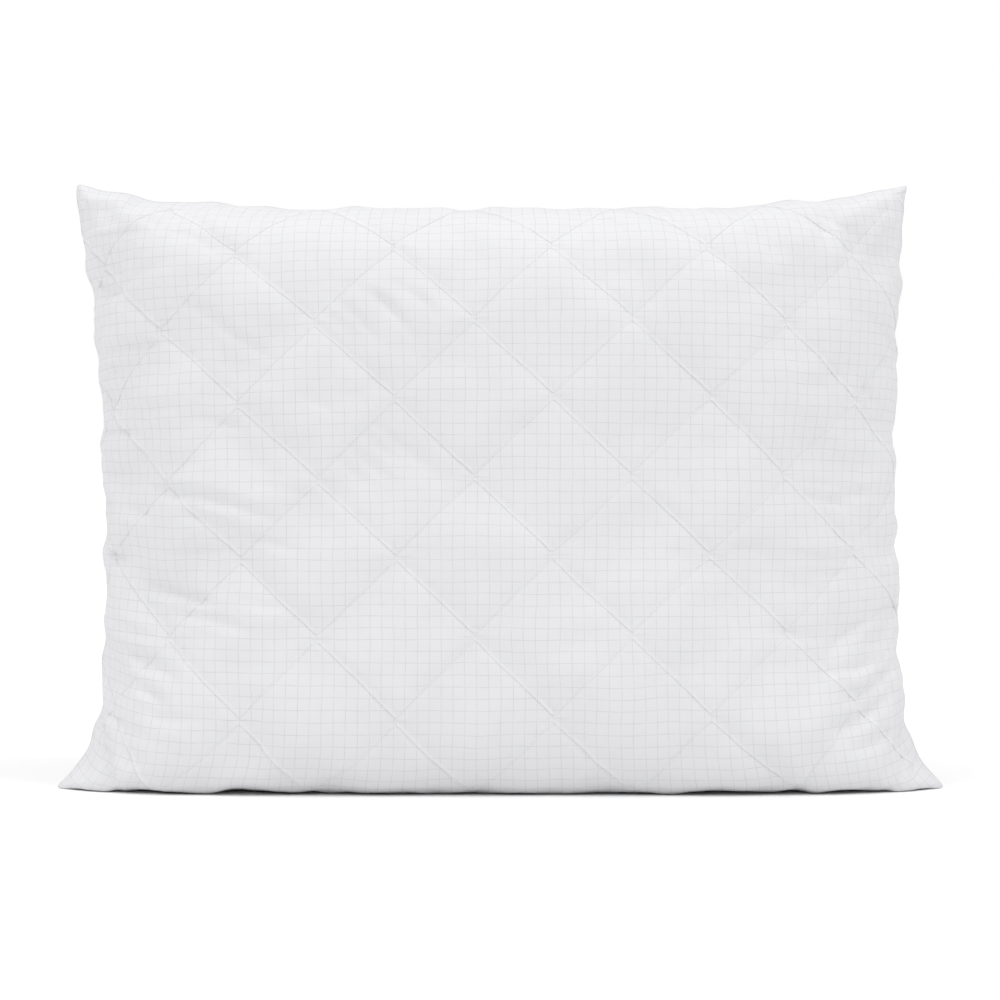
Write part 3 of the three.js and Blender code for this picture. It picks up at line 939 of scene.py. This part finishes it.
# Lets the cloth buckle: it is cut larger than the filled shape, sewn fast at the seams and the
# quilting, and lies on soft fill between them
def settleCloth(piece, p, q, start):
    dice = np.random.default_rng(outerFabric["seed"])
    seam = seamDistance(p, q) < 1e-6
    sewn = stitchDistance(p, q) < outerFabric["sewnReach"]
    held = np.where(seam, 1.0, np.where(sewn, outerFabric["stitchHold"], outerFabric["hold"]))
    taut = outerFabric["tautMiddle"] * (1 - np.exp(-seamDistance(p, q) / outerFabric["slackReach"]))
    for name, weights in (("held", held), ("taut", np.round(taut, 2))):
        group = piece.vertex_groups.new(name=name)
        for weight in np.unique(weights):
            group.add(np.flatnonzero(weights == weight).tolist(), float(weight), "REPLACE")
    uneven = dice.normal(0, outerFabric["unevenness"], start.shape) * (~seam)[:, None]
    writePoints(piece, start + uneven)
    cloth = piece.modifiers.new("settle", "CLOTH")
    rules = cloth.settings
    rules.quality = outerFabric["quality"]
    rules.mass = outerFabric["mass"]
    rules.tension_stiffness = rules.compression_stiffness = outerFabric["stretch"]
    rules.shear_stiffness = outerFabric["shear"]
    rules.bending_stiffness = outerFabric["bend"]
    for damping in ("tension_damping", "compression_damping", "shear_damping"):
        setattr(rules, damping, outerFabric["damping"])
    rules.bending_damping = outerFabric["bendDamping"]
    rules.air_damping = outerFabric["airDamping"]
    rules.vertex_group_mass = "held"
    rules.pin_stiffness = outerFabric["holdStiffness"]
    rules.vertex_group_shrink = "taut"
    rules.shrink_min = -outerFabric["slack"]
    rules.shrink_max = 0
    rules.use_pressure = True
    rules.uniform_pressure_force = outerFabric["pressure"]
    rules.effector_weights.gravity = 0
    cloth.point_cache.frame_start = scene.frame_start = 1
    cloth.point_cache.frame_end = scene.frame_end = outerFabric["frames"]
    for frameNumber in range(1, outerFabric["frames"] + 1):
        scene.frame_set(frameNumber)
    settled = piece.evaluated_get(bpy.context.evaluated_depsgraph_get())
    points = np.empty(len(start) * 3, np.float32)
    settled.to_mesh().vertices.foreach_get("co", points)
    settled.to_mesh_clear()
    piece.modifiers.remove(cloth)
    piece.vertex_groups.clear()
    sides = np.abs(2 * p / pillow["flatWidth"] - 1) ** 3
    keep = outerFabric["keep"] + (outerFabric["keepAtSides"] - outerFabric["keep"]) * sides
    moved = (points.reshape(-1, 3) - start) * keep[:, None]
    far = np.linalg.norm(moved, axis=1, keepdims=True)
    moved *= np.minimum(1, outerFabric["farthest"] / np.maximum(far, 1e-9))
    writePoints(piece, start + moved)
    scene.frame_set(1)
    print("cloth settled:", piece.name, "most", round(float(far.max()) * 1000, 1), "mm")


def thicken(piece, thickness):
    wall = piece.modifiers.new("thickness", "SOLIDIFY")
    wall.thickness = thickness
    wall.offset = -1
    applyModifiers(piece)


def finishPiece(piece, material, nodes):
    for face in piece.data.polygons:
        face.use_smooth = True
    piece.data.materials.clear()
    piece.data.materials.append(material)
    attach(piece, "root")
    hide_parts(*nodes)


# The sewn and stuffed layers behind the outer fabric

layers = {
    "wadding": 0.0015,  # left where the stitches draw it together
    "lining": 0.0004,
    "clearance": 0.0004,
    "creaseSmoothing": 10,
    "creaseReach": 3,
    "edgeCells": 2,
    "fillEdgeCells": 5,
    "fillDepth": 0.0016,
    "fillRounding": 0.030,
    "coverShare": 0.34,  # the farthest each may lie towards the middle
    "depthShare": 0.50,
    "fillShare": 0.8,
}


def smoothed(values, rounds):
    for _ in range(rounds):
        padded = np.pad(values, [(1, 1), (1, 1)] + [(0, 0)] * (values.ndim - 2), "edge")
        beside = padded[:-2, 1:-1] + padded[2:, 1:-1] + padded[1:-1, :-2] + padded[1:-1, 2:]
        values = (beside + 2 * values) / 6
    return values


def lowestNear(values, reach):
    padded = np.pad(values, reach, "edge")
    rows, columns = values.shape
    shifted = [
        padded[i:i + rows, j:j + columns]
        for i in range(2 * reach + 1)
        for j in range(2 * reach + 1)
    ]
    return np.min(shifted, axis=0)


# How deep the wadding and the lining lie, below every crease and never past the middle
def layerDepths(side):
    grid, normals, loft = panels[side][1:]
    room = smoothed(np.linalg.norm(grid - panels[-side][1], axis=-1) / 2, 4)
    proud = ((grid - smoothed(grid, layers["creaseSmoothing"])) * normals).sum(-1)
    crease = proud - lowestNear(proud, layers["creaseReach"])
    cover = smoothed(pillow["clothThickness"] + layers["clearance"] + crease, 1)
    depth = np.maximum(smoothed(loft, 2), cover) + layers["wadding"] + layers["clearance"]
    cover = np.minimum(cover, layers["coverShare"] * room)
    return cover, np.minimum(depth, layers["depthShare"] * room), room


# Every second grid point, without those nearest the seams
def coarseMiddle(grid, margin):
    return grid[::2, ::2][margin:-margin, margin:-margin]


def evenNormals(side, rounds):
    normals = smoothed(panels[side][2], rounds)
    return normals / np.linalg.norm(normals, axis=-1, keepdims=True)


def gridFaces(rows, columns, start, flipped):
    faces = []
    for i in range(rows - 1):
        for j in range(columns - 1):
            a = start + i * columns + j
            face = (a, a + columns, a + columns + 1, a + 1)
            faces.append(face[::-1] if flipped else face)
    return faces


def newPiece(name, points, faces):
    mesh = bpy.data.meshes.new(name)
    mesh.from_pydata(np.asarray(points).tolist(), [], faces)
    mesh.update()
    piece = bpy.data.objects.new(name, mesh)
    scene.collection.objects.link(piece)
    return piece


# A closed slab between an outer and an inner grid
def makeSlab(name, outer, inner, side):
    rows, columns = outer.shape[:2]
    count = rows * columns
    flipped = side > 0
    faces = gridFaces(rows, columns, 0, flipped) + gridFaces(rows, columns, count, not flipped)
    rim = [i * columns for i in range(rows)]
    rim += [(rows - 1) * columns + j for j in range(1, columns)]
    rim += [i * columns + columns - 1 for i in range(rows - 2, -1, -1)]
    rim += [j for j in range(columns - 2, 0, -1)]
    for a, b in zip(rim, rim[1:] + rim[:1]):
        face = (b, a, a + count, b + count)
        faces.append(face[::-1] if flipped else face)
    return newPiece(name, np.concatenate([outer.reshape(-1, 3), inner.reshape(-1, 3)]), faces)


def mergeDoubles(piece, distance):
    bpy.ops.object.select_all(action="DESELECT")
    piece.select_set(True)
    bpy.context.view_layer.objects.active = piece
    bpy.ops.object.mode_set(mode="EDIT")
    bpy.ops.mesh.select_all(action="SELECT")
    bpy.ops.mesh.remove_doubles(threshold=distance)
    bpy.ops.object.mode_set(mode="OBJECT")


panels = {}
for side, sideName in ((-1, "front"), (1, "back")):
    piece, grid, normals, loft = dressPanel(side)
    panels[side] = (piece, grid, normals, loft)
    thicken(piece, pillow["clothThickness"])
    finishPiece(piece, cottonMaterial, [sideName + "_outer_fabric"])
    print(sideName, "outer fabric made, faces:", len(piece.data.polygons))


# One stitch of thread, modelled once, lying along x with z away from the cloth
def stitchTemplate():
    bpy.ops.object.select_all(action="DESELECT")
    bpy.ops.mesh.primitive_uv_sphere_add(
        segments=6, ring_count=5, radius=1, rotation=(0, math.pi / 2, 0),
    )
    model = bpy.context.object
    bpy.ops.object.transform_apply(location=False, rotation=True, scale=False)
    points = readPoints(model)
    points[:, 0] = np.sign(points[:, 0]) * np.abs(points[:, 0]) ** 0.6  # blunt, as a pulled thread is
    faces = [tuple(face.vertices) for face in model.data.polygons]
    bpy.data.objects.remove(model)
    return points, faces


stitchPoints, stitchFaces = stitchTemplate()


def surfaceAt(grid, p, q):
    across, up = grid.shape[0] - 1, grid.shape[1] - 1
    x = np.clip(p / pillow["flatWidth"] * across, 0, across - 1e-6)
    y = np.clip(q / pillow["flatHeight"] * up, 0, up - 1e-6)
    i, j = x.astype(int), y.astype(int)
    a, b = (x - i)[:, None], (y - j)[:, None]
    low = grid[i, j] * (1 - a) + grid[i + 1, j] * a
    high = grid[i, j + 1] * (1 - a) + grid[i + 1, j + 1] * a
    return low * (1 - b) + high * b


# Copies the stitch along a line of points, with outward directions beside them
def sewLine(name, points, outward, length, radius, lowest=0.0):
    steps = np.linalg.norm(np.diff(points, axis=0), axis=1)
    run = np.concatenate([[0], np.cumsum(steps)])
    count = max(2, int(run[-1] / length))
    ends = np.linspace(0, run[-1], count + 1)
    at = np.stack([np.interp(ends, run, points[:, k]) for k in range(3)], -1)
    up = np.stack([np.interp(ends, run, outward[:, k]) for k in range(3)], -1)
    along = at[1:] - at[:-1]
    half = np.linalg.norm(along, axis=1, keepdims=True) / 2
    along = along / (2 * half)
    normal = (up[1:] + up[:-1]) / 2
    normal -= along * (normal * along).sum(1, keepdims=True)
    normal /= np.maximum(np.linalg.norm(normal, axis=1, keepdims=True), 1e-9)
    beside = np.cross(normal, along)
    centre = (at[1:] + at[:-1]) / 2
    placed = centre[:, None] + (
        (along * half * threads["stitchShare"])[:, None] * stitchPoints[None, :, :1]
        + (beside * radius)[:, None] * stitchPoints[None, :, 1:2]
        + (normal * radius)[:, None] * stitchPoints[None, :, 2:]
    )
    placed[..., 2] = np.maximum(placed[..., 2], lowest)
    size = len(stitchPoints)
    faces = [tuple(v + size * k for v in face) for k in range(count) for face in stitchFaces]
    return newPiece(name, placed.reshape(-1, 3), faces)


threads = {
    "sampling": 0.0012,
    "stitchShare": 0.94,  # how much of its length a stitch fills
    "seamEnd": 0.007,
    "footThread": 0.008,
    "looperRadius": 0.0003,
    "seamRadius": 0.00026,
    "seamInset": 0.0012,
    "seamStitch": 0.003,
    "closingLowest": 0.0001,
    "closingLength": 0.240,
    "closingGap": 0.004,
}


def rowPlaces(row, side):
    count = int(pillow["flatWidth"] / threads["sampling"])
    p = np.linspace(threads["seamEnd"], pillow["flatWidth"] - threads["seamEnd"], count)
    lowest = pillow["footHalfDepth"] + side * pillow["footSeamForward"] + threads["footThread"]
    q = np.clip(zigzag(p, row), lowest, pillow["flatHeight"] - threads["seamEnd"])
    return p, q


for side, sideName in ((-1, "front"), (1, "back")):
    piece, grid, normals, loft = panels[side]
    cover, depth = layerDepths(side)[:2]
    away = evenNormals(side, 3)
    liningFace, upper, lower = (
        coarseMiddle(grid - away * level[..., None], layers["edgeCells"])
        for level in (depth, cover, depth - layers["clearance"])
    )
    wadding = makeSlab(sideName + "Wadding", upper, lower, side)
    finishPiece(wadding, waddingMaterial, [sideName + "_wadding"])
    rows, columns = liningFace.shape[:2]
    faces = gridFaces(rows, columns, 0, side > 0)
    lining = newPiece(sideName + "Lining", liningFace.reshape(-1, 3), faces)
    thicken(lining, layers["lining"])
    finishPiece(lining, liningMaterial, [sideName + "_lining"])
    needleLevel = quilting["stitchRadius"] * 0.5
    looperLevel = -(depth + layers["lining"] + threads["looperRadius"])
    for row in range(quilting["rows"]):
        number = quilting["rows"] - row
        p, q = rowPlaces(row, side)
        outward = surfaceAt(normals, p, q)
        points = surfaceAt(grid, p, q) + outward * needleLevel
        needle = sewLine(
            f"{sideName}NeedleThread{number}", points, outward,
            quilting["stitchLength"], quilting["stitchRadius"],
        )
        finishPiece(needle, threadMaterial, [f"{sideName}_needle_thread_{number}"])
        level = surfaceAt(looperLevel[..., None], p, q)
        points = surfaceAt(grid, p, q) + surfaceAt(away, p, q) * level
        looper = sewLine(
            f"{sideName}LooperThread{number}", points, -outward,
            quilting["stitchLength"], threads["looperRadius"],
        )
        finishPiece(looper, threadMaterial, [f"{sideName}_looper_thread_{number}"])
    print(sideName, "layers and quilting threads made")


def makeFill():
    halves = []
    margin = layers["fillEdgeCells"]
    middle = coarseMiddle(panels[-1][1] + panels[1][1], margin) / 2
    for side in (-1, 1):
        depth, room = layerDepths(side)[1:]
        deep = depth + layers["lining"] + layers["fillDepth"]
        deep = np.minimum(deep, layers["fillShare"] * room)[..., None]
        halves.append(coarseMiddle(panels[side][1] - evenNormals(side, 6) * deep, margin))
    rows, columns = middle.shape[:2]
    i, j = np.meshgrid(np.arange(rows), np.arange(columns), indexing="ij")
    cell = pillow["flatWidth"] / (panels[-1][1].shape[0] - 1) * 2
    edge = np.minimum(np.minimum(i, rows - 1 - i), np.minimum(j, columns - 1 - j)) * cell
    swell = np.sqrt(1 - (1 - np.minimum(1, edge / layers["fillRounding"])) ** 2)[..., None]
    halves = [middle + (half - middle) * swell for half in halves]
    count = rows * columns
    faces = gridFaces(rows, columns, 0, False) + gridFaces(rows, columns, count, True)
    fill = newPiece("fibreFill", np.concatenate([half.reshape(-1, 3) for half in halves]), faces)
    mergeDoubles(fill, 1e-6)
    finishPiece(fill, fillMaterial, ["fibre_fill"])


makeFill()
print("fill made")


# The seam that joins the panels, just inside their edge, and the seam closed last
def makeSeamThreads():
    inset = threads["seamInset"]
    width, height = pillow["flatWidth"], pillow["flatHeight"]
    right, head = width - inset, height - inset
    corners = [(inset, inset), (right, inset), (right, head), (inset, head)]
    p, q = [], []
    for (fromP, fromQ), (toP, toQ) in zip(corners, corners[1:] + corners[:1]):
        count = int(math.hypot(toP - fromP, toQ - fromQ) / threads["seamStitch"])
        p.append(np.linspace(fromP, toP, count, endpoint=False))
        q.append(np.linspace(fromQ, toQ, count, endpoint=False))
    p, q = np.concatenate(p), np.concatenate(q)
    points = (surfaceAt(panels[-1][1], p, q) + surfaceAt(panels[1][1], p, q)) / 2
    outward = surfaceAt(panels[-1][2], p, q)
    seam = sewLine("perimeterSeamThread", points, outward, threads["seamStitch"], threads["seamRadius"])
    finishPiece(seam, threadMaterial, ["perimeter_seam_thread"])
    middle, half = width / 2, threads["closingLength"] / 2
    p = np.linspace(middle - half, middle + half, 160)
    q = np.full_like(p, threads["closingGap"])
    outward = surfaceAt(panels[1][2], p, q)
    points = surfaceAt(panels[1][1], p, q)
    closing = sewLine(
        "closingSeamThread", points, outward,
        threads["seamStitch"], threads["seamRadius"], threads["closingLowest"],
    )
    finishPiece(closing, threadMaterial, ["closing_seam_thread"])


makeSeamThreads()
print("seam threads made")
